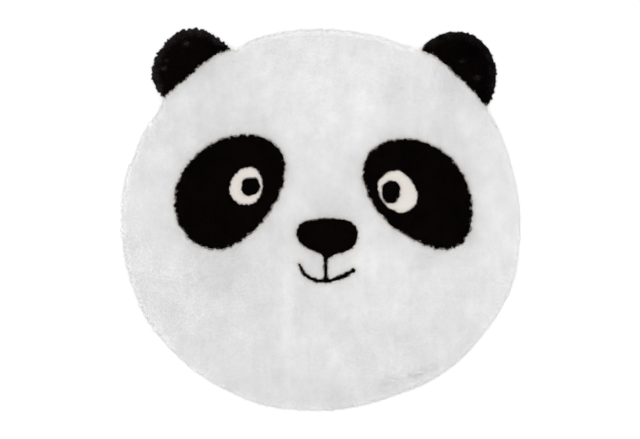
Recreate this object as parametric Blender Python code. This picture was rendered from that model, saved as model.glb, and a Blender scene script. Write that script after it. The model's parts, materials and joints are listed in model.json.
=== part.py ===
"""A child's plush rug in the shape of a panda's head, lying flat.

The rug is pieced from short cut-pile plush. A round white face panel carries two ears at its rim, and the
eye patches, the whites of the eyes, the pupils and the nose with its mouth line are let into it edge to
edge. Each piece goes through the rug's full height and keeps a fine gap to its neighbours.

Lengths are in metres, +Z is up and the rug lies on z = 0. The origin is under the middle of the head, +Y
points to the top of the head, and "left" is the side of -X. Tilts are in degrees, turning from +X to +Y.
"""

import math
import random
from collections import namedtuple

import bmesh
import bpy

# The head: a superellipse, a little fuller than an ellipse.
HEAD_HALF_WIDTH = 0.430
HEAD_HALF_HEIGHT = 0.411
HEAD_POWER = 2.08

# Where its hand-cut edge strays from that: the polar angle, how far out the edge stands there (in, if
# negative), and the angle over which this fades.
Stray = namedtuple("Stray", "angle reach spread")
HEAD_STRAYS = (
    Stray(14, reach=-0.0036, spread=9),
    Stray(35, reach=0.0020, spread=7),
    Stray(55, reach=0.0062, spread=7),
    Stray(94, reach=0.0009, spread=16),
    Stray(116, reach=-0.0095, spread=2.5),
    Stray(133, reach=-0.0050, spread=5),
    Stray(148, reach=-0.0075, spread=5),
    Stray(159, reach=-0.0054, spread=5),
    Stray(176, reach=0.0006, spread=6),
    Stray(209, reach=0.0030, spread=6),
    Stray(254, reach=0.0026, spread=8),
    Stray(292, reach=-0.0064, spread=13),
    Stray(323, reach=-0.0015, spread=5),
    Stray(341, reach=0.0050, spread=9),
)

# The plush: ground cloth and pile together, with a gently uneven top.
PLUSH_HEIGHT = 0.0140
NAP_UNEVENNESS = 0.0009
NAP_GRID_PITCH = 0.032
SEAM_GAP = 0.0003

# The free rim, where the pile falls outwards in tufts. Every other spoke ends in a tip.
TUFT_REACH = 0.0016
TUFT_SEED = 7
HEAD_SPOKES = 360
EAR_SPOKES = 72

# Where the ears are sewn on, the head's rim keeps only this share of its rounding, and no tufts.
SEAM_ROUNDING = 0.12
SEAM_FADE = 0.035

# How far each raw form reaches past the floor and the top of the pile, before it is cut to them.
CLEARANCE = 0.010

# How finely the outlines are drawn.
OVAL_POINTS = 72
SMILE_POINTS = 22
CAP_POINTS = 7

# The rim from below the floor up: how far each section lies inside the outline, and how much of a tuft
# it shows. The pile's top cuts through the last, shallow slope.
RimSection = namedtuple("RimSection", "inset height tuft")
RIM = (
    RimSection(inset=0.0120, height=-CLEARANCE, tuft=0.0),
    RimSection(inset=0.0004, height=0.0052, tuft=1.0),
    RimSection(inset=0.0042, height=0.0112, tuft=0.6),
    RimSection(inset=0.0190, height=0.0170, tuft=0.0),
)

# Ovals: the middle, half the length along the tilted axis and half the width across it, and the power of
# the outline, where 2 gives an ellipse. Taper narrows the far end, and bow bends both ends to one side.
Oval = namedtuple("Oval", "x y half_length half_width tilt power taper bow", defaults=(0.0, 0.0))
EARS = {
    "left": Oval(-0.2680, 0.3174, 0.0870, 0.0915, tilt=53, power=2.44),
    "right": Oval(0.2830, 0.3019, 0.0915, 0.1040, tilt=-20, power=2.0),
}
EYE_PATCHES = {
    "left": Oval(-0.1940, 0.0639, 0.1370, 0.1005, tilt=48.5, power=2.04, taper=0.07, bow=-0.0115),
    "right": Oval(0.2115, 0.0554, 0.1390, 0.0960, tilt=-45.5, power=1.91, taper=0.075, bow=-0.0125),
}
EYE_WHITES = {
    "left": Oval(-0.1600, 0.0739, 0.0417, 0.0345, tilt=71, power=2.04, taper=0.13),
    "right": Oval(0.1652, 0.0609, 0.0470, 0.0375, tilt=-52, power=2.3, taper=0.05),
}
PUPILS = {
    "left": Oval(-0.1514, 0.0723, 0.0217, 0.0194, tilt=45, power=1.75),
    "right": Oval(0.1507, 0.0600, 0.0240, 0.0186, tilt=88, power=2.5, taper=-0.06),
}
NOSE = Oval(0.0135, -0.0319, 0.0655, 0.0380, tilt=-2.5, power=2.3, taper=-0.075, bow=0.005)

# The groove from the nose down to the mouth: its middle line, and half its width at each station.
Station = namedtuple("Station", "x y half_width")
GROOVE = (
    Station(0.0135, -0.0611, half_width=0.0290),
    Station(0.0132, -0.0699, half_width=0.0195),
    Station(0.0112, -0.0753, half_width=0.0110),
    Station(0.0107, -0.0807, half_width=0.0063),
    Station(0.0106, -0.0861, half_width=0.0041),
    Station(0.0104, -0.0971, half_width=0.0034),
    Station(0.0104, -0.1301, half_width=0.0034),
)

# The smile: one Bezier span through four corners from left to right, a little wider towards the right.
SMILE_CORNERS = ((-0.0458, -0.0946), (-0.0335, -0.1470), (0.0329, -0.1347), (0.0698, -0.1075))
SMILE_HALF_WIDTH_LEFT = 0.0032
SMILE_HALF_WIDTH_RIGHT = 0.0040

WHITE_PLUSH = (0.80, 0.80, 0.79, 1.0)
CREAM_PLUSH = (0.80, 0.77, 0.74, 1.0)
BLACK_PLUSH = (0.012, 0.011, 0.012, 1.0)
PLUSH_ROUGHNESS = 0.95


def clear_scene():
    for thing in list(bpy.data.objects):
        bpy.data.objects.remove(thing)


def new_collection(name):
    collection = bpy.data.collections.new(name)
    bpy.context.scene.collection.children.link(collection)
    return collection


def plush_material(name, colour):
    """A soft pile: rough, with no metal in it."""
    material = bpy.data.materials.new(name)
    material.use_nodes = True
    shader = material.node_tree.nodes["Principled BSDF"]
    shader.inputs["Base Color"].default_value = colour
    shader.inputs["Roughness"].default_value = PLUSH_ROUGHNESS
    shader.inputs["Metallic"].default_value = 0.0
    return material


# Outlines: lists of (x, y), anticlockwise.


def head_radius(angle):
    """The superellipse in polar form, where |x / a|^n + |y / b|^n is 1, plus a bell for each stray."""
    across = abs(math.cos(angle)) / HEAD_HALF_WIDTH
    along = abs(math.sin(angle)) / HEAD_HALF_HEIGHT
    radius = (across**HEAD_POWER + along**HEAD_POWER) ** (-1 / HEAD_POWER)
    for stray in HEAD_STRAYS:
        off = (math.degrees(angle) - stray.angle + 180) % 360 - 180
        radius += stray.reach * math.exp(-((off / stray.spread) ** 2))
    return radius


def head_outline(grow=0.0):
    outline = []
    for spoke in range(HEAD_SPOKES):
        angle = math.tau * spoke / HEAD_SPOKES
        radius = head_radius(angle) + grow
        outline.append((radius * math.cos(angle), radius * math.sin(angle)))
    return outline


def oval_outline(oval, grow=0.0, points=OVAL_POINTS):
    """A superellipse, narrowed to one end by its taper, bent by its bow and then turned by its tilt."""
    tilt = math.radians(oval.tilt)
    outline = []
    for step in range(points):
        turn = math.tau * step / points
        along = math.copysign(abs(math.cos(turn)) ** (2 / oval.power), math.cos(turn))
        across = math.copysign(abs(math.sin(turn)) ** (2 / oval.power), math.sin(turn))
        u = (oval.half_length + grow) * along
        v = (oval.half_width + grow) * across * (1 - oval.taper * along) + oval.bow * (along**2 - 0.5)
        x = oval.x + u * math.cos(tilt) - v * math.sin(tilt)
        y = oval.y + u * math.sin(tilt) + v * math.cos(tilt)
        outline.append((x, y))
    return outline


def distance_outside(oval, x, y):
    """How far a point lies outside an unbent, untapered oval, along the line from its middle."""
    tilt = math.radians(oval.tilt)
    dx, dy = x - oval.x, y - oval.y
    u = dx * math.cos(tilt) + dy * math.sin(tilt)
    v = dy * math.cos(tilt) - dx * math.sin(tilt)
    power = oval.power
    share = (abs(u / oval.half_length) ** power + abs(v / oval.half_width) ** power) ** (1 / power)
    return math.hypot(dx, dy) * (1 - 1 / share)


def stroke_outline(stations, grow=0.0):
    """A line of changing width: its right side, a round cap, its left side back, and a cap at the start."""
    right, left, headings = [], [], []
    for i, here in enumerate(stations):
        before = stations[max(i - 1, 0)]
        after = stations[min(i + 1, len(stations) - 1)]
        heading = math.atan2(after.y - before.y, after.x - before.x)
        headings.append(heading)
        reach = here.half_width + grow
        right.append((here.x + reach * math.sin(heading), here.y - reach * math.cos(heading)))
        left.append((here.x - reach * math.sin(heading), here.y + reach * math.cos(heading)))
    end_cap = round_cap(stations[-1], headings[-1], grow)
    start_cap = round_cap(stations[0], headings[0] + math.pi, grow)
    return right + end_cap + left[::-1] + start_cap


def round_cap(station, heading, grow):
    """The inner points of half a circle, from the right side of the heading round to its left side."""
    reach = station.half_width + grow
    turns = [heading - math.pi / 2 + math.pi * step / (CAP_POINTS + 1) for step in range(1, CAP_POINTS + 1)]
    return [(station.x + reach * math.cos(turn), station.y + reach * math.sin(turn)) for turn in turns]


def smile_stations():
    """Points of the cubic Bezier span, evenly spaced in its parameter."""
    stations = []
    for step in range(SMILE_POINTS):
        t = step / (SMILE_POINTS - 1)
        weights = ((1 - t) ** 3, 3 * t * (1 - t) ** 2, 3 * t**2 * (1 - t), t**3)
        x = sum(weight * corner[0] for weight, corner in zip(weights, SMILE_CORNERS))
        y = sum(weight * corner[1] for weight, corner in zip(weights, SMILE_CORNERS))
        half_width = SMILE_HALF_WIDTH_LEFT + t * (SMILE_HALF_WIDTH_RIGHT - SMILE_HALF_WIDTH_LEFT)
        stations.append(Station(x, y, half_width))
    return stations


# Raw forms: each reaches past the floor and past the pile's top.


def mesh_object(name, bm, collection):
    """A new object that holds the bmesh, with its faces turned outwards."""
    bmesh.ops.recalc_face_normals(bm, faces=bm.faces)
    mesh = bpy.data.meshes.new(name)
    bm.to_mesh(mesh)
    bm.free()
    thing = bpy.data.objects.new(name, mesh)
    collection.objects.link(thing)
    return thing


def helper(thing):
    """Marks an object that only shapes the others."""
    thing.hide_render = True
    thing.display_type = "WIRE"
    return thing


def prism(name, outline, collection):
    """A flat outline as a 2D curve with thickness, made a mesh so that a Boolean can use it."""
    curve = bpy.data.curves.new(name, "CURVE")
    curve.dimensions = "2D"
    curve.fill_mode = "BOTH"
    curve.extrude = PLUSH_HEIGHT / 2 + CLEARANCE
    spline = curve.splines.new("POLY")
    spline.points.add(len(outline) - 1)
    for point, (x, y) in zip(spline.points, outline):
        point.co = (x, y, 0, 1)
    spline.use_cyclic_u = True
    drawn = bpy.data.objects.new(name, curve)
    drawn.location.z = PLUSH_HEIGHT / 2
    collection.objects.link(drawn)
    bpy.context.view_layer.update()
    graph = bpy.context.evaluated_depsgraph_get()
    bm = bmesh.new()
    bm.from_mesh(bpy.data.meshes.new_from_object(drawn.evaluated_get(graph)))
    bmesh.ops.transform(bm, matrix=drawn.matrix_world, verts=bm.verts)
    bmesh.ops.remove_doubles(bm, verts=bm.verts, dist=SEAM_GAP / 10)
    bpy.data.objects.remove(drawn)
    return mesh_object(name, bm, collection)


def nap_height(x, y):
    """The top of the pile: the plush height plus the mean of three crossing waves."""
    waves = (
        math.sin(34 * x + 19 * y + 0.6),
        math.sin(-23 * x + 41 * y + 2.1),
        math.sin(57 * x + 8 * y + 4.0),
    )
    return PLUSH_HEIGHT + NAP_UNEVENNESS * sum(waves) / len(waves)


def nap_slab(collection):
    """The space between the floor and the pile's uneven top: a grid raised to it, closed down to z = 0."""
    half = HEAD_HALF_WIDTH + CLEARANCE
    segments = round(2 * half / NAP_GRID_PITCH)
    bm = bmesh.new()
    bmesh.ops.create_grid(bm, x_segments=segments, y_segments=segments, size=half)
    for vertex in bm.verts:
        vertex.co.z = nap_height(vertex.co.x, vertex.co.y)
    lowered = bmesh.ops.extrude_face_region(bm, geom=list(bm.faces))
    for element in lowered["geom"]:
        if isinstance(element, bmesh.types.BMVert):
            element.co.z = 0
    return mesh_object("nap_slab", bm, collection)


def rim_loft(name, section_outline, collection):
    """A pad: one ring of points for each rim section, joined by quads and closed below and above."""
    bm = bmesh.new()
    rings = []
    for section in RIM:
        rings.append([bm.verts.new((x, y, section.height)) for x, y in section_outline(section)])
    bm.faces.new(rings[0])
    bm.faces.new(rings[-1])
    for lower, upper in zip(rings, rings[1:]):
        for i in range(len(lower)):
            bm.faces.new((lower[i - 1], lower[i], upper[i], upper[i - 1]))
    return mesh_object(name, bm, collection)


def tuft_reaches(spokes, seed):
    """How far each spoke's pile stands out: every other spoke is a tip, and the tips differ a little."""
    draw = random.Random(seed)
    return [TUFT_REACH * (draw.uniform(0.3, 0.8) if spoke % 2 else -0.4) for spoke in range(spokes)]


def smooth_step(share):
    share = min(1.0, max(0.0, share))
    return share * share * (3 - 2 * share)


def head_form(collection):
    """The head's pad: rounded and tufted at its free rim, nearly upright where an ear is sewn to it."""
    reaches = tuft_reaches(HEAD_SPOKES, TUFT_SEED)
    freedoms = []
    for x, y in head_outline():
        to_ear = min(distance_outside(ear, x, y) for ear in EARS.values())
        freedoms.append(smooth_step(to_ear / SEAM_FADE))

    def section_outline(section):
        points = []
        for (x, y), free, reach in zip(head_outline(), freedoms, reaches):
            inset = section.inset * (SEAM_ROUNDING + (1 - SEAM_ROUNDING) * free)
            scale = 1 + (free * section.tuft * reach - inset) / math.hypot(x, y)
            points.append((x * scale, y * scale))
        return points

    return rim_loft("face_panel", section_outline, collection)


def ear_form(name, ear, seed, collection):
    """A whole round pad, of which the head will take the inner part."""
    reaches = tuft_reaches(EAR_SPOKES, seed)

    def section_outline(section):
        points = []
        for (x, y), reach in zip(oval_outline(ear, points=EAR_SPOKES), reaches):
            dx, dy = x - ear.x, y - ear.y
            scale = 1 + (section.tuft * reach - section.inset) / math.hypot(dx, dy)
            points.append((ear.x + dx * scale, ear.y + dy * scale))
        return points

    return rim_loft(name, section_outline, collection)


def boolean(thing, operation, other):
    """Cuts, joins or keeps what is shared, by a live modifier."""
    modifier = thing.modifiers.new(f"{operation.lower()} {other.name}", "BOOLEAN")
    modifier.operation = operation
    modifier.object = other
    modifier.solver = "EXACT"


def nose_and_mouth_form(name, grow, collection, helpers):
    """The nose, the groove under it and the smile, joined into one."""
    nose = prism(name, oval_outline(NOSE, grow), collection)
    strokes = {"groove": GROOVE, "smile": smile_stations()}
    for label, stations in strokes.items():
        stroke = prism(f"{name}_{label}", stroke_outline(stations, grow), helpers)
        boolean(nose, "UNION", helper(stroke))
    return nose


def make_rug():
    """Builds each piece from its form, cuts it to the pile's height and makes room for its neighbours."""
    pieces = new_collection("panda_head_rug")
    helpers = new_collection("cutters")
    white = plush_material("white_plush", WHITE_PLUSH)
    cream = plush_material("cream_plush", CREAM_PLUSH)
    black = plush_material("black_plush", BLACK_PLUSH)
    nap = helper(nap_slab(helpers))

    def room_for(name, outline):
        return helper(prism(f"room_for_{name}", outline, helpers))

    def finish(piece, material, *rooms):
        boolean(piece, "INTERSECT", nap)
        for room in rooms:
            boolean(piece, "DIFFERENCE", room)
        piece.data.materials.append(material)

    nose_and_mouth = nose_and_mouth_form("nose_and_mouth", 0.0, pieces, helpers)
    finish(nose_and_mouth, black)
    face_rooms = [helper(nose_and_mouth_form("room_for_nose", SEAM_GAP, helpers, helpers))]
    head_room = room_for("head", head_outline(SEAM_GAP))
    for seed, side in enumerate(("left", "right"), TUFT_SEED + 1):
        patch, eye, pupil = EYE_PATCHES[side], EYE_WHITES[side], PUPILS[side]
        face_rooms.append(room_for(f"eye_patch_{side}", oval_outline(patch, SEAM_GAP)))
        eye_room = room_for(f"eye_white_{side}", oval_outline(eye, SEAM_GAP))
        pupil_room = room_for(f"pupil_{side}", oval_outline(pupil, SEAM_GAP))
        finish(ear_form(f"ear_{side}", EARS[side], seed, pieces), black, head_room)
        finish(prism(f"eye_patch_{side}", oval_outline(patch), pieces), black, eye_room)
        finish(prism(f"eye_white_{side}", oval_outline(eye), pieces), cream, pupil_room)
        finish(prism(f"pupil_{side}", oval_outline(pupil), pieces), black)
    finish(head_form(pieces), white, *face_rooms)


clear_scene()
make_rug()
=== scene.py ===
import json
import math
from collections import namedtuple

import bpy
import numpy as np
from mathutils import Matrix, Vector, geometry


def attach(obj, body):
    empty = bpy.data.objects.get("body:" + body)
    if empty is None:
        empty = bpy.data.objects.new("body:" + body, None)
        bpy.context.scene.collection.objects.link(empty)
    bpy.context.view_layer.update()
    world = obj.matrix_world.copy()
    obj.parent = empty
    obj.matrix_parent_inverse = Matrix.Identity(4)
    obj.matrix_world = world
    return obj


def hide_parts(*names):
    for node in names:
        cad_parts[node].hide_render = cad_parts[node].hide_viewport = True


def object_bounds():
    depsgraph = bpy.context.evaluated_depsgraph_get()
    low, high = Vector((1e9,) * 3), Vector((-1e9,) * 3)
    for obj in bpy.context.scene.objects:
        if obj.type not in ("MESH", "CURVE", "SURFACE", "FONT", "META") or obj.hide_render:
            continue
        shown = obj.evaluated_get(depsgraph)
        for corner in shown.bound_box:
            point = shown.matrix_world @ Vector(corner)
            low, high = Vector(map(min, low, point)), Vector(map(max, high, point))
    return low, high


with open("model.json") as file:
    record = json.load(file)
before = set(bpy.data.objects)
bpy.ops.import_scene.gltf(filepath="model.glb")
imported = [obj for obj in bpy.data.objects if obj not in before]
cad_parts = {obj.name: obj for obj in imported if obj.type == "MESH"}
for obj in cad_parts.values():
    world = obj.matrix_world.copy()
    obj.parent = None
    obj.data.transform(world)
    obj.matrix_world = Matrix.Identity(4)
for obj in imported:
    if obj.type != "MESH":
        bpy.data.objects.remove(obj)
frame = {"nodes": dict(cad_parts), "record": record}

# A child's plush rug in the shape of a panda's head. It lies on z = 0 with its pile up, +Y is the top of the
# head and "left" is the side of -X. Lengths are in metres. Every piece of the rug is made here as a ground
# cloth, a dense bed of pile and the tufts that stand out of it, and keeps the outline of its solid.

CAD_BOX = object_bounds()
NODES = frame["nodes"]
UP = np.array((0.0, 0.0, 1.0))
WHITE, CREAM, BLACK = "white_plush", "cream_plush", "black_plush"

# The ground cloth, and the levels at which the solids are outlined: just over the floor, and just under
# the height at which the rounded rim stands out furthest.
CLOTH_THICKNESS = 0.0020
FLOOR_LEVEL = 0.0001
WIDEST_LEVEL = 0.0051
CLOTH_PITCH = 0.022

# The pile. Its rim profile gives the height of the tips by their distance inside the rug's outline.
PILE_TOP = 0.0140
NAP_UNEVENNESS = 0.0009
NAP_WAVES = ((34, 19, 0.6), (-23, 41, 2.1), (57, 8, 4.0))
RIM_DEPTHS = (-0.0030, 0.0000, 0.0015, 0.0042, 0.0085, 0.0150)
RIM_HEIGHTS = (0.0020, 0.0042, 0.0074, 0.0108, 0.0132, 0.0140)
RIM_WIDTH = 0.0140
FREE_EDGE_LEAD = 0.0120

# The bed under the tips: how deep it lies, how far it reaches past the cloth at the rim, and its grid.
BED_DEPTH = 0.0034
BED_RIM_DROP = 0.0015
BED_FLANK = 0.0070
BED_SPREAD = 0.0012
BED_PITCH = 0.0110
BED_RIM_PITCH = 0.0042
BED_EDGE_PITCH = 0.0026
BED_RIM_INSET = 0.0046
BED_LEAST_HEIGHT = 0.0006
BED_OVERLAP = 0.0001
BED_SHADE_HEIGHT = 0.25

# The tufts: their spacing, their width at the root, how deep the root sits in the bed, how far a tip stands
# over the nap, and how far it strays sideways and in height.
TUFT_PITCH = 0.0019
TUFT_RADIUS = 0.0016
ROOT_DEPTH = 0.0012
TIP_RISE = 0.0003
TIP_STRAY = 0.0003
TIP_UNEVENNESS = 0.00022

# The skirt: tufts low on the free rim's flank, the share of the height their roots and tips have, and how
# much further out the inner ones splay.
SKIRT_PITCH = 0.00096
SKIRT_WIDTH = 0.0062
SKIRT_SPLAY = 0.55
SKIRT_ROOT_SHARE = 0.45
SKIRT_TIP_SHARES = (0.10, 0.85)
SKIRT_LEAST_TIP = 0.0004

# The fringe: thinner and higher tufts at the seams, in a band that ends raggedly.
FRINGE_PITCH = 0.00112
FRINGE_BAND = 0.0045
FRINGE_BAND_ENDS = (0.5, 1.2)
FRINGE_FINENESS = 0.45
FRINGE_STRAY = 1.15
FRINGE_RISE = 0.0004

# The free rim: where its roots begin, how far its tips stand out by their clump, how thin its tufts are,
# how ragged it is (more so on the left), how much further an ear's rim reaches, and how far and how
# strongly a paler colour is painted on the rim as light, weaker on the right ear.
RIM_ROOT_INSET = 0.0020
RIM_SPLAY_LEAST = 0.0006
RIM_SPLAY_SPREAD = 0.0026
RIM_FINENESS = 0.45
RIM_RAGGEDNESS = {WHITE: 0.0024, CREAM: 0.0024, BLACK: 0.0018}
LEFT_RAGGEDNESS = 0.50
RIM_REACH = {"ear_left": 0.0030, "ear_right": 0.0035}
RIM_LIGHT_FADE = {WHITE: 0.0220, CREAM: 0.0220, BLACK: 0.0110}
RIM_LIGHT_STRENGTH = {"ear_right": 0.50}

# How much single tufts differ in tone, how the nap leans and turns, and how tufts draw together in clumps.
TUFT_TONE = {WHITE: 0.020, CREAM: 0.020, BLACK: 0.800}
NAP_LEAN = 0.0022
NAP_BROAD_TURN = 0.18
NAP_FINE_TURN = 0.12
NAP_LEAN_CHANGE = 0.08
CLUMP_PITCH = 0.0062
SEAM_CLUMP_PITCH = 0.0085
SEAM_CLUMP_REACH = 0.0020
SEAM_CLUMP_DRAW = 0.30
SEAM_UPRIGHT = 0.85
CLUMP_DRAW = 0.16
RIM_CLUMP_DRAW = 0.26
CLUMP_DIP = 0.0016
SEED = 11

# Corners of an outline that are nearer than this are one.
SAME_CORNER = 2e-5

# Distances to an outline are kept on a grid with this spacing, out to this margin.
FIELD_PITCH = 0.003
FIELD_MARGIN = 0.020

# A fold that storage has left in the nap: its ends, half its width and its depth.
Fold = namedtuple("Fold", "start end width depth")
FOLDS = (
    Fold((0.126, -0.354), (0.186, -0.335), width=0.0050, depth=0.0020),
    Fold((0.186, -0.335), (0.212, -0.328), width=0.0060, depth=0.0036),
    Fold((0.212, -0.328), (0.247, -0.312), width=0.0056, depth=0.0024),
)

# Broad places painted lighter or darker as light and shade: where the nap's lie takes more or less light,
# the top of the head lit more than the chin, and the outer left ear lit more than the right ear. The pile,
# the middle, the reach each way, and the tone.
LitOrShadedPlace = namedtuple("LitOrShadedPlace", "slot x y wide tall tone")
LIT_AND_SHADED_PLACES = (
    LitOrShadedPlace(WHITE, 0.030, 0.270, 0.120, 0.130, 0.045),
    LitOrShadedPlace(WHITE, -0.072, -0.220, 0.013, 0.180, 0.050),
    LitOrShadedPlace(WHITE, -0.110, 0.230, 0.040, 0.120, -0.030),
    LitOrShadedPlace(WHITE, 0.084, 0.190, 0.012, 0.100, 0.025),
    LitOrShadedPlace(WHITE, 0.280, -0.190, 0.070, 0.030, 0.025),
    LitOrShadedPlace(WHITE, -0.215, -0.115, 0.085, 0.072, -0.080),
    LitOrShadedPlace(WHITE, -0.160, -0.220, 0.080, 0.060, -0.035),
    LitOrShadedPlace(WHITE, 0.015, 0.050, 0.045, 0.055, -0.045),
    LitOrShadedPlace(WHITE, 0.000, -0.380, 0.140, 0.050, -0.045),
    LitOrShadedPlace(WHITE, 0.230, -0.270, 0.070, 0.060, -0.040),
    LitOrShadedPlace(WHITE, -0.250, 0.240, 0.070, 0.080, -0.050),
    LitOrShadedPlace(WHITE, 0.395, -0.010, 0.060, 0.120, 0.045),
    LitOrShadedPlace(WHITE, -0.370, -0.020, 0.065, 0.130, 0.024),
    LitOrShadedPlace(WHITE, 0.105, -0.085, 0.050, 0.050, 0.062),
    LitOrShadedPlace(WHITE, -0.105, 0.345, 0.060, 0.035, 0.035),
    LitOrShadedPlace(WHITE, 0.262, 0.262, 0.045, 0.050, -0.045),
    LitOrShadedPlace(WHITE, -0.150, -0.335, 0.060, 0.045, -0.040),
    LitOrShadedPlace(WHITE, 0.065, -0.210, 0.045, 0.020, -0.030),
    LitOrShadedPlace(WHITE, -0.060, 0.125, 0.025, 0.045, 0.040),
    LitOrShadedPlace(BLACK, -0.290, 0.400, 0.045, 0.030, 0.350),
    LitOrShadedPlace(BLACK, -0.350, 0.320, 0.035, 0.050, 0.350),
    LitOrShadedPlace(BLACK, -0.225, 0.385, 0.035, 0.030, -0.400),
    LitOrShadedPlace(BLACK, 0.375, 0.365, 0.060, 0.060, -0.380),
)

# Painted highlights: small clumps of black pile on the ears that lie flat and catch the light, painted
# paler. The middle, the reach each way and how much they show.
Glint = namedtuple("Glint", "x y wide tall strength")
GLINTS = (
    Glint(-0.288, 0.380, 0.0052, 0.0042, 1.60),
    Glint(-0.333, 0.343, 0.0036, 0.0032, 1.20),
    Glint(-0.336, 0.327, 0.0048, 0.0032, 1.60),
    Glint(0.337, 0.307, 0.0060, 0.0040, 2.20),
    Glint(0.303, 0.343, 0.0062, 0.0030, 0.80),
    Glint(0.343, 0.371, 0.0030, 0.0026, 3.00),
)

# At a seam the darker or inner piece's pile stands over its neighbour in some clumps and gives way in
# others: the least and the greatest reach outwards, and how far from the seam the pile still shifts.
Seam = namedtuple("Seam", "inner outer least most fade mingling")
SEAMS = (
    Seam("face_panel", "ear", least=-0.0020, most=0.0014, fade=0.0080, mingling=1.0),
    Seam("eye_patch", "face_panel", least=-0.0018, most=0.0021, fade=0.0080, mingling=1.0),
    Seam("nose", "face_panel", least=-0.0009, most=0.0015, fade=0.0060, mingling=0.7),
    Seam("eye_white", "eye_patch", least=-0.0020, most=0.0008, fade=0.0060, mingling=0.8),
    Seam("pupil", "eye_white", least=-0.0006, most=0.0015, fade=0.0060, mingling=0.8),
)
MINGLING = {WHITE: 0.0040, CREAM: 0.0036, BLACK: 0.0020}
RIM_MINGLING = 0.0009
BLACK_REACH = 0.0022

# How dark the painted shade in a fold is, for each metre of its depth.
FOLD_SHADE = 40

# Beside black pile the white pile is painted darker, as shade: broadly, by how much black lies round it,
# and in a narrow band along the seam, where the painted shade turns warm too. At the free rim it is
# painted lighter, as light, where less pile shades it.
BROAD_SHADE = 0.220
BROAD_REACH = 0.0320
NARROW_SHADE = 0.075
NARROW_REACH = 0.0045
SHADE_TINT_REACH = 0.0140
RIM_PAINTED_LIGHT = 0.036
RIM_PAINTED_LIGHT_REACH = 0.0050

SLOTS = {part["node"]: part["material_slot"] for part in frame["record"]["subparts"]}

# The face's pile is four pieces, split along the diagonals.
FACE_SECTORS = ("right", "brow", "left", "chin")


# ---------------------------------------------------------------- outlines and distances


def slice_outline(node, level):
    """Where the node's triangles cross z = level. In a crossing triangle one corner is alone on its side of
    the level, and the segment joins the points where the two edges from that corner pass the level."""
    mesh = node.data
    mesh.calc_loop_triangles()
    places = np.empty(len(mesh.vertices) * 3, np.float32)
    mesh.vertices.foreach_get("co", places)
    corners = np.empty(len(mesh.loop_triangles) * 3, np.int32)
    mesh.loop_triangles.foreach_get("vertices", corners)
    triangles = places.reshape(-1, 3).astype(float)[corners.reshape(-1, 3)]
    above = triangles[:, :, 2] > level
    count = above.sum(axis=1)
    crossing = (count == 1) | (count == 2)
    triangles, above, count = triangles[crossing], above[crossing], count[crossing]
    alone = np.where(count == 1, above.argmax(axis=1), (~above).argmax(axis=1))
    row = np.arange(len(triangles))
    first, second, third = (triangles[row, (alone + turn) % 3] for turn in range(3))
    ends = []
    for other in (second, third):
        share = (level - first[:, 2]) / (other[:, 2] - first[:, 2])
        ends.append(first[:, :2] + (other[:, :2] - first[:, :2]) * share[:, None])
    segments = np.stack(ends, axis=1)
    return segments[np.linalg.norm(segments[:, 1] - segments[:, 0], axis=1) > 1e-6]


def in_chunks(points, segments):
    """Runs of point numbers, short enough that a table of points by segments stays small."""
    return np.array_split(np.arange(len(points)), len(points) * len(segments) // 3_000_000 + 1)


def distance_to(segments, points):
    """The least distance to the segments: to the nearest a + t (b - a), with t kept from 0 to 1."""
    start, run = segments[:, 0], segments[:, 1] - segments[:, 0]
    square = (run**2).sum(axis=1)
    nearest = np.empty(len(points))
    for chunk in in_chunks(points, segments):
        off = points[chunk, None, :] - start[None]
        share = np.clip((off * run).sum(axis=2) / square, 0, 1)
        nearest[chunk] = np.sqrt(((off - run * share[..., None]) ** 2).sum(axis=2).min(axis=1))
    return nearest


def inside(segments, points):
    """Even-odd rule: a point is inside where a ray towards +X meets the segments an odd number of times."""
    (x0, y0), (x1, y1) = segments[:, 0].T, segments[:, 1].T
    rise = np.where(y1 == y0, 1.0, y1 - y0)
    odd = np.empty(len(points), bool)
    for chunk in in_chunks(points, segments):
        x, y = points[chunk, 0, None], points[chunk, 1, None]
        meets = x0 + (x1 - x0) * (y - y0) / rise
        odd[chunk] = (((y0 > y) != (y1 > y)) & (meets > x)).sum(axis=1) % 2 == 1
    return odd


class Field:
    """The distance inside an outline, negative outside it, on a square grid with straight blending."""

    def __init__(self, segments, pitch=FIELD_PITCH, margin=FIELD_MARGIN):
        ends = segments.reshape(-1, 2)
        self.pitch = pitch
        self.low = ends.min(axis=0) - margin
        self.size = np.ceil((ends.max(axis=0) + margin - self.low) / pitch).astype(int) + 1
        steps = np.meshgrid(*(np.arange(count) for count in self.size), indexing="ij")
        points = self.low + np.stack([step.ravel() for step in steps], axis=1) * pitch
        depth = np.where(inside(segments, points), 1, -1) * distance_to(segments, points)
        self.depth = depth.reshape(self.size)
        self.slope = np.stack(np.gradient(self.depth, pitch), axis=-1)

    def blend(self, grid, points):
        place = (points - self.low) / self.pitch
        cell = np.clip(np.floor(place).astype(int), 0, self.size - 2)
        share = np.clip(place - cell, 0, 1).reshape(-1, 2, *(1,) * (grid.ndim - 2))
        (i, j), (u, v) = cell.T, (share[:, 0], share[:, 1])
        near = grid[i, j] * (1 - u) + grid[i + 1, j] * u
        far = grid[i, j + 1] * (1 - u) + grid[i + 1, j + 1] * u
        return near * (1 - v) + far * v

    def inset(self, points):
        return self.blend(self.depth, points)

    def outward(self, points):
        """The unit direction in which the inset falls fastest."""
        slope = -self.blend(self.slope, points)
        return slope / np.maximum(np.linalg.norm(slope, axis=1, keepdims=True), 1e-9)

    def near(self, points):
        """Which points the grid covers."""
        high = self.low + (self.size - 1) * self.pitch
        return ((points > self.low) & (points < high)).all(axis=1)


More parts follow.
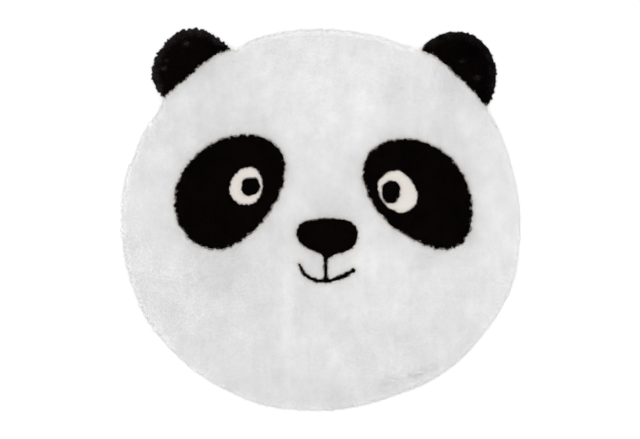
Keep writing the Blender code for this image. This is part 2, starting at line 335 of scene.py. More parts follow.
FLOOR_OUTLINES = {name: slice_outline(node, FLOOR_LEVEL) for name, node in NODES.items()}
WIDEST_OUTLINES = {name: slice_outline(node, WIDEST_LEVEL) for name, node in NODES.items()}
FIELDS = {name: Field(outline) for name, outline in WIDEST_OUTLINES.items()}
BLACK_FIELD = Field(np.concatenate([WIDEST_OUTLINES[name] for name in NODES if SLOTS[name] == BLACK]),
                    pitch=0.0060, margin=0.110)


def spread_along(count):
    """Weights that average a row of the black field's grid with its neighbours, falling as exp(-d^2/2r^2)."""
    steps = np.arange(count)
    apart = (steps[:, None] - steps) * BLACK_FIELD.pitch / BROAD_REACH
    weights = np.exp(-(apart**2) / 2)
    return weights / weights[count // 2].sum()


# How much black pile lies round each place of that grid, from 0 to 1.
BLACK_ROUND = np.clip(BLACK_FIELD.depth / BLACK_FIELD.pitch + 0.5, 0, 1)
BLACK_ROUND = spread_along(len(BLACK_ROUND)) @ BLACK_ROUND @ spread_along(len(BLACK_ROUND[0])).T


def seams_of(name):
    """Each seam the piece has: the neighbour, the inner piece of the two, and the seam's rule."""
    found = []
    for seam in SEAMS:
        for other in NODES:
            if name.startswith(seam.inner) and other.startswith(seam.outer):
                found.append((other, name, seam))
            elif name.startswith(seam.outer) and other.startswith(seam.inner):
                found.append((other, other, seam))
    return found


def smooth_step(share):
    share = np.clip(share, 0, 1)
    return share * share * (3 - 2 * share)


def freedom(name, points):
    """1 where the nearest edge is the free rim and 0 at a seam, by how much nearer the piece's own edge is
    than any neighbour."""
    beside = np.full(len(points), FIELD_MARGIN)
    for other, _, _ in seams_of(name):
        beside = np.minimum(beside, np.abs(FIELDS[other].inset(points)))
    return smooth_step((beside - np.abs(FIELDS[name].inset(points))) / FREE_EDGE_LEAD)


# ---------------------------------------------------------------- the lie of the pile


def waves(points, shortest, longest, count, seed):
    """Sine waves with lengths from shortest to longest and seeded headings and phases, summed and divided
    by the root of their count, so that they mostly stay between -1 and 1."""
    draw = np.random.default_rng(seed)
    headings, phases = draw.uniform(0, math.tau, (2, count))
    total = np.zeros(len(points))
    for length, heading, phase in zip(np.geomspace(shortest, longest, count), headings, phases):
        along = points[:, 0] * math.cos(heading) + points[:, 1] * math.sin(heading)
        total += np.sin(math.tau * along / length + phase)
    return total / math.sqrt(count)


def fold_depth(points):
    """A bell across each fold: its depth times exp(-(distance / width)^2)."""
    total = np.zeros(len(points))
    for fold in FOLDS:
        distance = distance_to(np.array([[fold.start, fold.end]]), points)
        total = np.maximum(total, fold.depth * np.exp(-((distance / fold.width) ** 2)))
    return total


def tip_height(name, points):
    """The solids' three crossing waves, less the folds, and at the free rim less the rim's rounding."""
    x, y = points.T
    crossing = sum(np.sin(across * x + along * y + phase) for across, along, phase in NAP_WAVES)
    rounding = PILE_TOP - np.interp(FIELDS[name].inset(points), RIM_DEPTHS, RIM_HEIGHTS)
    uneven = NAP_UNEVENNESS * crossing / len(NAP_WAVES)
    return PILE_TOP + uneven - fold_depth(points) - freedom(name, points) * rounding


def bell(points, place):
    """exp(-((x - x0) / wide)^2 - ((y - y0) / tall)^2), which is 1 in the middle of the place."""
    across = ((points[:, 0] - place.x) / place.wide) ** 2 + ((points[:, 1] - place.y) / place.tall) ** 2
    return np.exp(-across)


def nap_lean(points):
    """How far each tip lies from its root: down the face, turned by long waves and a little by short ones."""
    broad = waves(points, 0.060, 0.380, 7, seed=21)
    fine = waves(points, 0.015, 0.050, 6, seed=22)
    reach = NAP_LEAN * (1 + NAP_LEAN_CHANGE * waves(points, 0.030, 0.150, 6, seed=23))
    heading = NAP_BROAD_TURN * broad + NAP_FINE_TURN * fine - math.pi / 2
    return np.column_stack([np.cos(heading), np.sin(heading)]) * reach[:, None]


def nap_light_and_shade(name, points):
    """How much lighter or darker the nap is painted, as light and shade: a bell for each lit or shaded place,
    painted shade in the folds, and in white pile painted shade beside black and painted light at the free
    rim, where less pile stands round it."""
    tone = -FOLD_SHADE * fold_depth(points)
    if SLOTS[name] == WHITE:
        tone -= NARROW_SHADE * np.exp(-np.abs(BLACK_FIELD.inset(points)) / NARROW_REACH)
        tone -= BROAD_SHADE * BLACK_FIELD.blend(BLACK_ROUND, points)
        inset = np.maximum(FIELDS[name].inset(points), 0)
        tone += RIM_PAINTED_LIGHT * freedom(name, points) * np.exp(-inset / RIM_PAINTED_LIGHT_REACH)
    for place in (place for place in LIT_AND_SHADED_PLACES if place.slot == SLOTS[name]):
        tone += place.tone * bell(points, place)
    return tone


def staggered(low, high, pitch, jitter, seed):
    """Rows of points a pitch apart, every other row half a pitch along, each point moved at random."""
    draw = np.random.default_rng(seed)
    rise = pitch * math.sqrt(3) / 2
    columns, rows = int((high[0] - low[0]) / pitch) + 2, int((high[1] - low[1]) / rise) + 2
    column, row = np.meshgrid(np.arange(columns), np.arange(rows), indexing="ij")
    points = np.stack([low[0] + (column + 0.5 * (row % 2)) * pitch, low[1] + row * rise], axis=-1)
    return points + draw.uniform(-jitter, jitter, points.shape) * pitch


LOW, HIGH = (np.array(corner)[:2] + shift for corner, shift in zip(CAD_BOX, (-0.004, 0.004)))


def nearest_clump(points, pitch, seed):
    """The middle of the nearest clump and its own random share. Clumps are staggered points a pitch apart,
    and the nearest is sought among the nine round the point's own place."""
    middles = staggered(LOW, HIGH, pitch, jitter=0.28, seed=seed)
    shares = np.random.default_rng(seed + 1).uniform(0, 1, middles.shape[:2])
    row = np.round((points[:, 1] - LOW[1]) / (pitch * math.sqrt(3) / 2)).astype(int)
    least = np.full(len(points), np.inf)
    middle, reach = np.zeros_like(points), np.zeros(len(points))
    for up in (-1, 0, 1):
        v = np.clip(row + up, 0, middles.shape[1] - 1)
        column = np.round((points[:, 0] - LOW[0]) / pitch - 0.5 * (v % 2)).astype(int)
        for along in (-1, 0, 1):
            u = np.clip(column + along, 0, middles.shape[0] - 1)
            gap = np.linalg.norm(middles[u, v] - points, axis=1)
            nearer = gap < least
            least[nearer] = gap[nearer]
            middle[nearer], reach[nearer] = middles[u, v][nearer], shares[u, v][nearer]
    return middle, reach


def ragged(name, points):
    """The points moved to the pile's ragged edges: at each seam along the inner piece's outward direction,
    by waves between the seam's least and greatest reach, and at the free rim outwards or inwards."""
    tooth = np.clip(waves(points, 0.0075, 0.0300, 8, seed=31), -1.1, 1.1)
    rim_tooth = np.clip(waves(points, 0.0070, 0.0160, 8, seed=32), -1.1, 1.1)
    field = FIELDS[name]
    rim = freedom(name, points) * smooth_step(1 - field.inset(points) / RIM_WIDTH)
    side = 1 - LEFT_RAGGEDNESS * points[:, 0] / HIGH[0]
    reach = RIM_REACH.get(name, 0.0) + RIM_RAGGEDNESS[SLOTS[name]] * side * rim_tooth
    moved = field.outward(points) * (reach * rim)[:, None]
    for other, inner, seam in seams_of(name):
        beside = smooth_step(1 - np.abs(FIELDS[other].inset(points)) / seam.fade)
        reach = (seam.least + seam.most) / 2 + tooth * (seam.most - seam.least) / 2
        moved += FIELDS[inner].outward(points) * (reach * beside)[:, None]
    return points + moved


# ---------------------------------------------------------------- meshes


Solid = namedtuple("Solid", "vertices faces normals attributes")


def joined(*solids):
    """One solid of several: their arrays end to end, with the vertex numbers moved along."""
    starts = np.cumsum([0] + [len(solid.vertices) for solid in solids[:-1]])
    return Solid(
        np.concatenate([solid.vertices for solid in solids]),
        np.concatenate([solid.faces + start for solid, start in zip(solids, starts)]),
        np.concatenate([solid.normals for solid in solids]),
        {key: np.concatenate([solid.attributes[key] for solid in solids]) for key in solids[0].attributes},
    )


def put_piece(name, solid, material):
    """Makes an object of whole arrays: vertices, triangles, vertex normals and attributes. Its bake map
    is the plan view."""
    mesh = bpy.data.meshes.new(name)
    mesh.vertices.add(len(solid.vertices))
    mesh.vertices.foreach_set("co", solid.vertices.astype(np.float32).ravel())
    corners = solid.faces.astype(np.int32).ravel()
    mesh.loops.add(len(corners))
    mesh.loops.foreach_set("vertex_index", corners)
    mesh.polygons.add(len(solid.faces))
    mesh.polygons.foreach_set("loop_start", np.arange(len(solid.faces), dtype=np.int32) * 3)
    mesh.update(calc_edges=True)
    if solid.normals is not None:
        mesh.polygons.foreach_set("use_smooth", np.ones(len(solid.faces), bool))
        mesh.normals_split_custom_set_from_vertices(solid.normals.astype(np.float32))
    for label, values in solid.attributes.items():
        layer = mesh.attributes.new(label, "FLOAT", "POINT")
        layer.data.foreach_set("value", values.astype(np.float32))
    low = solid.vertices.min(axis=0)[:2]
    size = (solid.vertices.max(axis=0)[:2] - low).max()
    plan = mesh.uv_layers.new(name="OFBake")
    plan.data.foreach_set("uv", ((solid.vertices[corners][:, :2] - low) / size).astype(np.float32).ravel())
    mesh.materials.append(material)
    piece = bpy.data.objects.new(name, mesh)
    bpy.context.scene.collection.objects.link(piece)
    return piece


def flat_panel(outline, grid):
    """Triangles over an outline: its corners, joined by its segments, with the grid's points inside. A
    triangle stays where its middle is inside, and is turned to face up."""
    ends = outline.reshape(-1, 2)
    cells = np.round(ends / SAME_CORNER).astype(int)
    _, first, number = np.unique(cells, axis=0, return_index=True, return_inverse=True)
    edges = number.reshape(-1, 2)
    edges = edges[edges[:, 0] != edges[:, 1]]
    points = np.concatenate([ends[first], grid])
    made = geometry.delaunay_2d_cdt([Vector(point) for point in points], edges.tolist(), [], 0, 1e-7, False)
    points, triangles = np.array(made[0]), np.array(made[2])
    triangles = triangles[inside(outline, points[triangles].mean(axis=1))]
    (ax, ay), (bx, by), (cx, cy) = (points[triangles[:, corner]].T for corner in range(3))
    turned = (bx - ax) * (cy - ay) < (by - ay) * (cx - ax)
    triangles[turned] = triangles[turned][:, ::-1]
    used, number = np.unique(triangles, return_inverse=True)
    return points[used], number.reshape(-1, 3)


def finer(segments, longest):
    """Each segment cut into equal parts no longer than the given length."""
    start, run = segments[:, 0], segments[:, 1] - segments[:, 0]
    parts = np.ceil(np.linalg.norm(run, axis=1) / longest).astype(int)
    number = np.arange(parts.sum()) - np.repeat(np.cumsum(parts) - parts, parts)
    start, step = np.repeat(start, parts, axis=0), np.repeat(run / parts[:, None], parts, axis=0)
    return np.stack([start + step * number[:, None], start + step * (number[:, None] + 1)], axis=1)


def closed_slab(points, triangles, bottom, top):
    """The panel at its bottom heights, turned down, and again at its top heights, with a wall on each edge
    of the outline: an edge that no other triangle runs the other way."""
    count = len(points)
    runs = triangles[:, [0, 1, 1, 2, 2, 0]].reshape(-1, 2)
    rim = runs[~np.isin(runs[:, 0] * count + runs[:, 1], runs[:, 1] * count + runs[:, 0])]
    a, b = rim.T
    walls = np.concatenate([np.column_stack([a, b, b + count]), np.column_stack([a, b + count, a + count])])
    vertices = np.concatenate([np.column_stack([points, bottom]), np.column_stack([points, top])])
    return vertices, np.concatenate([triangles[:, ::-1], triangles + count, walls])


def cloth_form(name):
    """The ground cloth: a flat slab on the solid's outline at the floor."""
    outline = FLOOR_OUTLINES[name]
    ends = outline.reshape(-1, 2)
    grid = staggered(ends.min(axis=0), ends.max(axis=0), CLOTH_PITCH, 0.05, SEED).reshape(-1, 2)
    grid = grid[FIELDS[name].inset(grid) > CLOTH_PITCH / 2]
    points, triangles = flat_panel(outline, grid)
    bottom = np.zeros(len(points))
    vertices, faces = closed_slab(points, triangles, bottom, bottom + CLOTH_THICKNESS)
    return Solid(vertices, faces, None, {})


def flat_area(name):
    """The area inside the floor outline, by summing the panel's triangles."""
    outline = FLOOR_OUTLINES[name]
    points, triangles = flat_panel(outline, np.zeros((0, 2)))
    (ax, ay), (bx, by), (cx, cy) = (points[triangles[:, corner]].T for corner in range(3))
    return float(((bx - ax) * (cy - ay) - (by - ay) * (cx - ax)).sum() / 2)


def pile_attributes(name, points, height, rounding=0.0):
    """What the finishes read: height is 0 at a root and 1 at a tip, for the painted shade low in the pile;
    rim is
    1 at the free edge, and more in a glint, for the paler colour painted there as light; halo is 1 beside a
    black piece, for the warm tint of the painted shade; and tone is the nap's painted light and shade."""
    field = FIELDS[name]
    rim = freedom(name, points) * np.exp(-np.maximum(field.inset(points), 0) / RIM_LIGHT_FADE[SLOTS[name]])
    rim *= RIM_LIGHT_STRENGTH.get(name, 1.0)
    # On black pile the glints are painted highlights, added to the rim's painted light.
    if SLOTS[name] == BLACK:
        for glint in GLINTS:
            rim += glint.strength * bell(points, glint)
    # The warm tint of the painted shade beside black pieces.
    halo = np.zeros(len(points))
    for other in NODES:
        if SLOTS[other] == BLACK and other != name:
            halo = np.maximum(halo, smooth_step(1 - np.abs(FIELDS[other].inset(points)) / SHADE_TINT_REACH))
    return {"height": height, "rim": rim, "halo": halo, "tone": nap_light_and_shade(name, points)}


def bed_form(name):
    """The dense lower pile: a slab whose top follows the tips, reaching past the cloth at the free rim."""
    field, ends = FIELDS[name], finer(FLOOR_OUTLINES[name], BED_EDGE_PITCH).reshape(-1, 2)
    spread = BED_SPREAD * freedom(name, ends)
    outline = ragged(name, ends + field.outward(ends) * spread[:, None]).reshape(-1, 2, 2)
    low, high = ends.min(axis=0) - BED_SPREAD, ends.max(axis=0) + BED_SPREAD
    coarse = staggered(low, high, BED_PITCH, 0.05, SEED).reshape(-1, 2)
    coarse = coarse[field.inset(coarse) > RIM_WIDTH]
    fine = staggered(low, high, BED_RIM_PITCH, 0.05, SEED).reshape(-1, 2)
    at_rim = (field.inset(fine) > BED_RIM_INSET) & (field.inset(fine) < RIM_WIDTH)
    fine = fine[at_rim & (freedom(name, fine) > 0.1)]
    points, triangles = flat_panel(outline, np.concatenate([coarse, fine]))
    bottom = np.full(len(points), CLOTH_THICKNESS - BED_OVERLAP)
    flank = freedom(name, points) * smooth_step(1 - field.inset(points) / BED_FLANK)
    top = tip_height(name, points) - BED_DEPTH - BED_RIM_DROP * flank
    top = np.maximum(top, bottom + BED_LEAST_HEIGHT)
    vertices, faces = closed_slab(points, triangles, bottom, top)
    normals = np.concatenate([np.tile(-UP, (len(points), 1)), np.tile(UP, (len(points), 1))])
    height = np.repeat([0.0, BED_SHADE_HEIGHT], len(points))
    return Solid(vertices, faces, normals, pile_attributes(name, vertices[:, :2], height))


def tufts(name, candidates, seed, kind="top"):
    """The root, the tip and the width of each tuft. A tip leans with the nap, outwards at the free rim and
    with its clump at a seam, and is drawn to the middle of its clump. A skirt tuft stands low on the rim's
    flank, and a fringe tuft is a thinner one at a seam."""
    draw = np.random.default_rng(seed)
    field = FIELDS[name]
    root = candidates[field.near(candidates)]
    inset, free = field.inset(root), freedom(name, root)
    taken = inset > 0.0001 + free * RIM_ROOT_INSET
    if kind == "skirt":
        taken &= (free > 0.5) & (inset < SKIRT_WIDTH)
    if kind == "fringe":
        taken &= free < 0.5
    root, inset, free = root[taken], inset[taken], free[taken]
    start = ragged(name, root)
    middle, reach = nearest_clump(root, CLUMP_PITCH, SEED + 1)
    seam_middle, seam_reach = nearest_clump(root, SEAM_CLUMP_PITCH, SEED + 3)
    rim = free * smooth_step(1 - inset / RIM_WIDTH)
    lean = nap_lean(root) * (1 - rim)[:, None]
    splay = RIM_SPLAY_LEAST + RIM_SPLAY_SPREAD * reach + draw.normal(0, RIM_MINGLING, len(root))
    if kind == "skirt":
        splay += SKIRT_SPLAY * (inset - RIM_ROOT_INSET)
    shift = field.outward(root) * (rim * splay)[:, None]
    pull = CLUMP_DRAW + (RIM_CLUMP_DRAW - CLUMP_DRAW) * rim
    seamed = np.zeros(len(root))
    for other, inner, seam in seams_of(name):
        beside = smooth_step(1 - np.abs(FIELDS[other].inset(root)) / seam.fade)
        lean *= (1 - SEAM_UPRIGHT * beside)[:, None]
        seamed = np.maximum(seamed, beside)
        stray = draw.triangular(-1, 0, 1, len(root)) * MINGLING[SLOTS[name]]
        if kind == "fringe":
            stray *= FRINGE_STRAY
        if SLOTS[name] == BLACK:
            stray += draw.uniform(0, BLACK_REACH, len(root)) * (1 if inner == name else -1)
        along = SEAM_CLUMP_REACH * (seam_reach - 0.5) + stray * seam.mingling
        start += FIELDS[inner].outward(root) * (along * beside)[:, None]
    tip = start + lean + shift + (middle - root) * pull[:, None]
    tip += (seam_middle - root) * (SEAM_CLUMP_DRAW * seamed)[:, None] + draw.normal(0, TIP_STRAY, root.shape)
    off = np.linalg.norm(middle - root, axis=1) / CLUMP_PITCH
    low = np.maximum(tip_height(name, start) - BED_DEPTH - ROOT_DEPTH, CLOTH_THICKNESS)
    high = tip_height(name, tip) + TIP_RISE - CLUMP_DIP * off**2 + draw.normal(0, TIP_UNEVENNESS, len(root))
    if kind == "skirt":
        low = np.maximum(low * SKIRT_ROOT_SHARE, CLOTH_THICKNESS)
        high = np.maximum(high * draw.uniform(*SKIRT_TIP_SHARES, len(root)), SKIRT_LEAST_TIP)
    width = TUFT_RADIUS * (1 - RIM_FINENESS * rim)
    if kind == "fringe":
        high += FRINGE_RISE
        width *= 1 - FRINGE_FINENESS
    return np.column_stack([start, low]), np.column_stack([tip, high]), width


def tuft_form(name, root, tip, width, seed):
    """A closed spike for each tuft: three corners round the root, square to the tuft, and one at the tip.
    The normals are bent upwards, as a fine pile takes the light."""
    draw = np.random.default_rng(seed)
    count = len(root)
    axis = tip - root
    axis /= np.linalg.norm(axis, axis=1, keepdims=True)
    side = np.cross(np.where(np.abs(axis[:, 2:]) > 0.9, (1.0, 0.0, 0.0), UP), axis)
    side /= np.linalg.norm(side, axis=1, keepdims=True)
    turn = draw.uniform(0, math.tau, (count, 1)) + np.arange(3) * math.tau / 3
    ring = np.cos(turn)[..., None] * side[:, None] + np.sin(turn)[..., None] * np.cross(axis, side)[:, None]
    radius = width[:, None, None] * draw.uniform(0.80, 1.20, (count, 1, 1))
    vertices = np.concatenate([root[:, None] + ring * radius, tip[:, None]], axis=1)
    sides = np.array([(0, 1, 3), (1, 2, 3), (2, 0, 3), (2, 1, 0)])
    faces = (np.arange(count)[:, None, None] * 4 + sides).reshape(-1, 3)
    bent = axis[:, None] * 0.3 + UP
    normals = np.concatenate([ring * 0.4 + bent, bent], axis=1).reshape(-1, 3)
    normals /= np.linalg.norm(normals, axis=1, keepdims=True)
    attributes = pile_attributes(name, np.repeat(root[:, :2], 4, axis=0), np.tile((0.0, 0, 0, 1), count))
    spread = TUFT_TONE[SLOTS[name]]
    attributes["tone"] = attributes["tone"] + np.repeat(draw.uniform(-spread, spread, count), 4)
    # The painted rim light and glints are speckled: a few tufts take most of it, as tips that catch the
    # light.
    attributes["rim"] = attributes["rim"] * np.repeat(4 * draw.uniform(0, 1, count) ** 3, 4)
    return Solid(vertices.reshape(-1, 3), faces, normals, attributes)


# ---------------------------------------------------------------- finishes


def new_group(name, inputs, outputs):
    """A shader node group with named inputs and outputs."""
    group = bpy.data.node_groups.new(name, "ShaderNodeTree")
    for label, kind, value in inputs:
        group.interface.new_socket(label, in_out="INPUT", socket_type=kind).default_value = value
    for label, kind in outputs:
        group.interface.new_socket(label, in_out="OUTPUT", socket_type=kind)
    return group, group.nodes.new("NodeGroupInput"), group.nodes.new("NodeGroupOutput")


def add_node(tree, kind, settings=None, **links):
    """A node with its settings, and its inputs linked from sockets or set to values. A name such as in_0
    stands for the input of that number."""
    node = tree.nodes.new(kind)
    for key, value in (settings or {}).items():
        setattr(node, key, value)
    for label, source in links.items():
        place = int(label[3:]) if label.startswith("in_") else label
        if isinstance(source, bpy.types.NodeSocket):
            tree.links.new(source, node.inputs[place])
        else:
            node.inputs[place].default_value = source
    return node


def add_math(tree, operation, first, second):
    return add_node(tree, "ShaderNodeMath", {"operation": operation}, in_0=first, in_1=second).outputs[0]


def attribute(tree, name):
    settings = {"attribute_type": "GEOMETRY", "attribute_name": name}
    return add_node(tree, "ShaderNodeAttribute", settings).outputs["Fac"]


def cut_pile_group():
    """The look of cut pile. Its shade is 1 + tone + mottle x noise, times the root shade low in the pile,
    which is painted shade. Its colour goes to the paler rim colour, painted light, at the free edge and in
    the glints, and to the halo tint, the warm tint of the painted shade, beside black pieces."""
    inputs = (
        ("Colour", "NodeSocketColor", (0.8, 0.8, 0.8, 1)),
        ("Shade Tint", "NodeSocketColor", (1, 1, 1, 1)),
        ("Root Shade", "NodeSocketFloat", 0.8),
        ("Mottle", "NodeSocketFloat", 0.03),
        ("Rim Light Colour", "NodeSocketColor", (0.8, 0.8, 0.8, 1)),
    )
    group, given, result = new_group("cut_pile", inputs, (("Colour", "NodeSocketColor"),))

    def signed_noise(stretch, detail):
        place = add_node(group, "ShaderNodeTexCoord").outputs["Object"]
        mapping = add_node(group, "ShaderNodeMapping", in_0=place, in_3=stretch)
        texture = add_node(group, "ShaderNodeTexNoise", Vector=mapping.outputs[0], Scale=1.0, Detail=detail)
        return add_math(group, "SUBTRACT", texture.outputs["Fac"], 0.5)

    broad = add_math(group, "MULTIPLY", signed_noise((15, 13, 1), 3.0), 1.7)
    blotch = signed_noise((48, 40, 1), 2.0)
    brushed = signed_noise((75, 9, 1), 2.0)
    fine = signed_noise((140, 140, 30), 2.0)
    total = add_math(group, "ADD", broad, add_math(group, "MULTIPLY", brushed, 0.4))
    total = add_math(group, "ADD", total, add_math(group, "MULTIPLY", blotch, 0.6))
    total = add_math(group, "ADD", total, add_math(group, "MULTIPLY", fine, 0.4))
    # The painted rim light and glints come in blotches.
    uneven = add_math(group, "ADD", add_math(group, "MULTIPLY", blotch, 3.0), 0.9)
    rim = add_math(group, "MULTIPLY", attribute(group, "rim"), uneven)
    shade = add_math(group, "MULTIPLY", total, given.outputs["Mottle"])
    shade = add_math(group, "ADD", shade, attribute(group, "tone"))
    shade = add_math(group, "MAXIMUM", add_math(group, "ADD", shade, 1.0), 0.1)
    mix_root = add_node(group, "ShaderNodeMix", {"data_type": "FLOAT"}, in_0=attribute(group, "height"),
                        in_2=given.outputs["Root Shade"], in_3=1.0)
    shade = add_math(group, "MULTIPLY", shade, mix_root.outputs[0])
    ground = add_node(group, "ShaderNodeMix", {"data_type": "RGBA"}, in_0=rim,
                      in_6=given.outputs["Colour"], in_7=given.outputs["Rim Light Colour"])
    tint = add_node(group, "ShaderNodeMix", {"data_type": "RGBA", "blend_type": "MULTIPLY"},
                    in_0=attribute(group, "halo"), in_6=ground.outputs[2], in_7=given.outputs["Shade Tint"])
    grey = add_node(group, "ShaderNodeCombineColor", Red=shade, Green=shade, Blue=shade)
    final = add_node(group, "ShaderNodeMix", {"data_type": "RGBA", "blend_type": "MULTIPLY"},
                     in_0=1.0, in_6=tint.outputs[2], in_7=grey.outputs[0])
    group.links.new(final.outputs[2], result.inputs["Colour"])
    return group


def knit_group():
    """The back of knitted ground cloth: fine upright ribs crossed by finer rows, as a height, and as a colour
    darker in the grooves, which is painted shade.
    """
    inputs = (("Colour", "NodeSocketColor", (0.8, 0.8, 0.8, 1)), ("Depth", "NodeSocketFloat", 0.12))
    outputs = (("Colour", "NodeSocketColor"), ("Height", "NodeSocketFloat"))
    group, given, result = new_group("knit_back", inputs, outputs)
    place = add_node(group, "ShaderNodeTexCoord").outputs["Object"]
    ribs = add_node(group, "ShaderNodeTexWave", {"bands_direction": "X"},
                    Vector=place, Scale=190.0, Distortion=1.2, **{"Detail Scale": 0.6})
    rows = add_node(group, "ShaderNodeTexWave", {"bands_direction": "Y"},
                    Vector=place, Scale=260.0, Distortion=1.0)
    raised = add_math(group, "ADD", rows.outputs["Fac"], 0.6)
    height = add_math(group, "MULTIPLY", ribs.outputs["Fac"], raised)
    # Darker where the knit lies lower: painted shade in the grooves.
    shade = add_math(group, "ADD", add_math(group, "MULTIPLY", height, given.outputs["Depth"]), 0.88)
    grey = add_node(group, "ShaderNodeCombineColor", Red=shade, Green=shade, Blue=shade)
    final = add_node(group, "ShaderNodeMix", {"data_type": "RGBA", "blend_type": "MULTIPLY"},
                     in_0=1.0, in_6=given.outputs["Colour"], in_7=grey.outputs[0])
    group.links.new(final.outputs[2], result.inputs["Colour"])
    group.links.new(height, result.inputs["Height"])
    return group


def new_material(name, group, values, roughness, specular, sheen):
    """A material whose Base Color comes from a group, with the rest set on the shader itself."""
    material = bpy.data.materials.new(name)
    material.use_nodes = True
    tree = material.node_tree
    shader = tree.nodes["Principled BSDF"]
    shader.inputs["Roughness"].default_value = roughness
    shader.inputs["Specular IOR Level"].default_value = specular
    shader.inputs["Sheen Weight"].default_value = sheen
    shader.inputs["Sheen Roughness"].default_value = 0.45
    look = tree.nodes.new("ShaderNodeGroup")
    look.node_tree = group
    for label, value in values.items():
        look.inputs[label].default_value = value
    tree.links.new(look.outputs["Colour"], shader.inputs["Base Color"])
    if "Height" in look.outputs:
        bump = add_node(tree, "ShaderNodeBump", Strength=0.5, Distance=0.0006, Height=look.outputs["Height"])
        tree.links.new(bump.outputs[0], shader.inputs["Normal"])
    return material


# Each finish's rim colour is painted light at the free edge and in the glints, its halo the warm tint of the
# painted shade beside black, and its root the painted shade low in the pile.
Finish = namedtuple("Finish", "colour rim halo root mottle specular sheen")
FINISHES = {
    WHITE: Finish(colour=(0.882, 0.882, 0.885, 1), rim=(0.900, 0.900, 0.903, 1), halo=(1.0, 0.970, 0.930, 1),
                  root=0.86, mottle=0.15, specular=0.10, sheen=0.0),
    CREAM: Finish(colour=(0.885, 0.848, 0.806, 1), rim=(0.885, 0.848, 0.806, 1), halo=(1.0, 0.985, 0.970, 1),
                  root=0.86, mottle=0.03, specular=0.10, sheen=0.0),
    BLACK: Finish(colour=(0.0030, 0.0015, 0.0013, 1), rim=(0.0260, 0.0228, 0.0240, 1),
                  halo=(1.0, 1.0, 1.0, 1), root=0.50, mottle=1.60, specular=0.03, sheen=0.02),
}
PILE_ROUGHNESS = 0.95
CLOTH_ROUGHNESS = 0.9


def make_finishes():
    """The pile and the ground cloth of each colour, by the record's slot."""
    pile, knit = cut_pile_group(), knit_group()
    piles, cloths = {}, {}
    for slot, look in FINISHES.items():
        values = {"Colour": look.colour, "Rim Light Colour": look.rim, "Shade Tint": look.halo,
                  "Root Shade": look.root, "Mottle": look.mottle}
        colour, specular = {"Colour": look.colour}, look.specular
        piles[slot] = new_material(f"{slot}_cut_pile", pile, values, PILE_ROUGHNESS, specular, look.sheen)
        cloths[slot] = new_material(f"{slot}_knit_back", knit, colour, CLOTH_ROUGHNESS, specular, 0.0)
    return piles, cloths


# ---------------------------------------------------------------- the rug


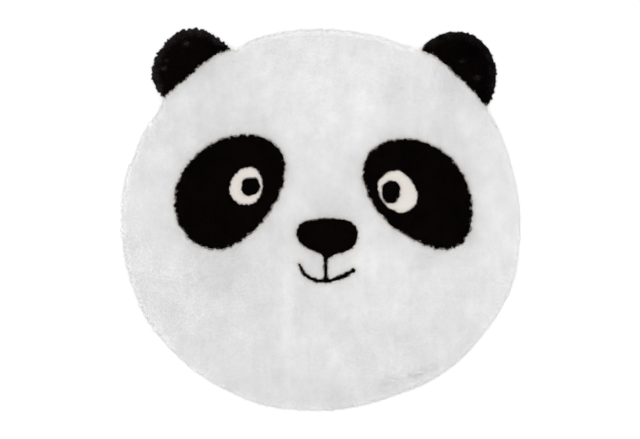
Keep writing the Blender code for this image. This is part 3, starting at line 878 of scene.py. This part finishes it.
def make_rug():
    """Makes the pieces of every node: the ground cloth and the pile on it."""
    piles, cloths = make_finishes()
    candidates = staggered(LOW, HIGH, TUFT_PITCH, 0.30, SEED).reshape(-1, 2)
    skirt_candidates = staggered(LOW, HIGH, SKIRT_PITCH, 0.35, SEED + 3).reshape(-1, 2)
    fringe_candidates = staggered(LOW, HIGH, FRINGE_PITCH, 0.35, SEED + 5).reshape(-1, 2)
    others = [node for node in NODES if node != "face_panel"]
    beside = np.min([np.abs(FIELDS[node].inset(fringe_candidates)) for node in others], axis=0)
    ends = np.random.default_rng(SEED + 6).uniform(*FRINGE_BAND_ENDS, len(beside)) * FRINGE_BAND
    fringe_candidates = fringe_candidates[beside < ends]

    def put(name, node, solid, finishes):
        piece = put_piece(name, solid, finishes[SLOTS[node]])
        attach(piece, "root")
        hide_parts(node)
        return piece

    for number, node in enumerate(sorted(NODES)):
        seed = SEED * 100 + number * 10
        upper = tufts(node, candidates, seed)
        skirt = tufts(node, skirt_candidates, seed + 1, "skirt")
        fringe = tufts(node, fringe_candidates, seed + 8, "fringe")
        root, tip, width = (np.concatenate(rows) for rows in zip(upper, skirt, fringe))
        bed = bed_form(node)
        if node == "face_panel":
            pile = [put("face_pile_bed", node, bed, piles)]
            sector = np.round(np.arctan2(root[:, 1], root[:, 0]) / (math.pi / 2)).astype(int) % 4
            for turn, label in enumerate(FACE_SECTORS):
                chosen = sector == turn
                form = tuft_form(node, root[chosen], tip[chosen], width[chosen], seed + 2 + turn)
                pile.append(put(f"face_pile_{label}", node, form, piles))
        else:
            form = joined(bed, tuft_form(node, root, tip, width, seed + 2))
            pile = [put(f"{node}_pile", node, form, piles)]
        cloth = put(f"{node}_cloth", node, cloth_form(node), cloths)
        ends = FLOOR_OUTLINES[node].reshape(-1, 2)
        flat_area(node)


# ---------------------------------------------------------------- the studio


def make_floor():
    """A wide pale floor."""
    corners = np.array([(-9, -9, 0), (9, -9, 0), (9, 9, 0), (-9, 9, 0)], float) - UP * 0.0003
    material = bpy.data.materials.new("pale_floor")
    material.use_nodes = True
    shader = material.node_tree.nodes["Principled BSDF"]
    shader.inputs["Base Color"].default_value = (0.80, 0.80, 0.80, 1)
    shader.inputs["Roughness"].default_value = 1.0
    shader.inputs["Specular IOR Level"].default_value = 0.0
    floor = put_piece("studio_floor", Solid(corners, np.array([(0, 1, 2), (0, 2, 3)]), None, {}), material)


def add_softbox(name, place, size, power):
    """A square area light that faces the middle of the rug."""
    light = bpy.data.lights.new(name, "AREA")
    light.size, light.energy = size, power
    lamp = bpy.data.objects.new(name, light)
    lamp.location = place
    lamp.rotation_euler = (-Vector(place)).to_track_quat("-Z", "Y").to_euler()
    bpy.context.scene.collection.objects.link(lamp)


def make_studio():
    """A pale dome, one softbox towards the top of the head, and the camera straight above."""
    world = bpy.data.worlds.new("studio")
    world.use_nodes = True
    world.node_tree.nodes["Background"].inputs["Color"].default_value = (1, 1, 1, 1)
    world.node_tree.nodes["Background"].inputs["Strength"].default_value = 1.12
    scene = bpy.context.scene
    scene.world = world
    add_softbox("softbox", (0.0, 0.3, 3.0), size=1.8, power=28)
    lens = bpy.data.cameras.new("camera")
    lens.lens = 36 * 3.99 / 1.376
    lens.clip_end = 100
    camera = bpy.data.objects.new("camera", lens)
    camera.location = (-0.00215, 0.001075, 4.0)
    scene.collection.objects.link(camera)
    scene.camera = camera
    scene.view_settings.view_transform = "Standard"


make_rug()
make_floor()
make_studio()
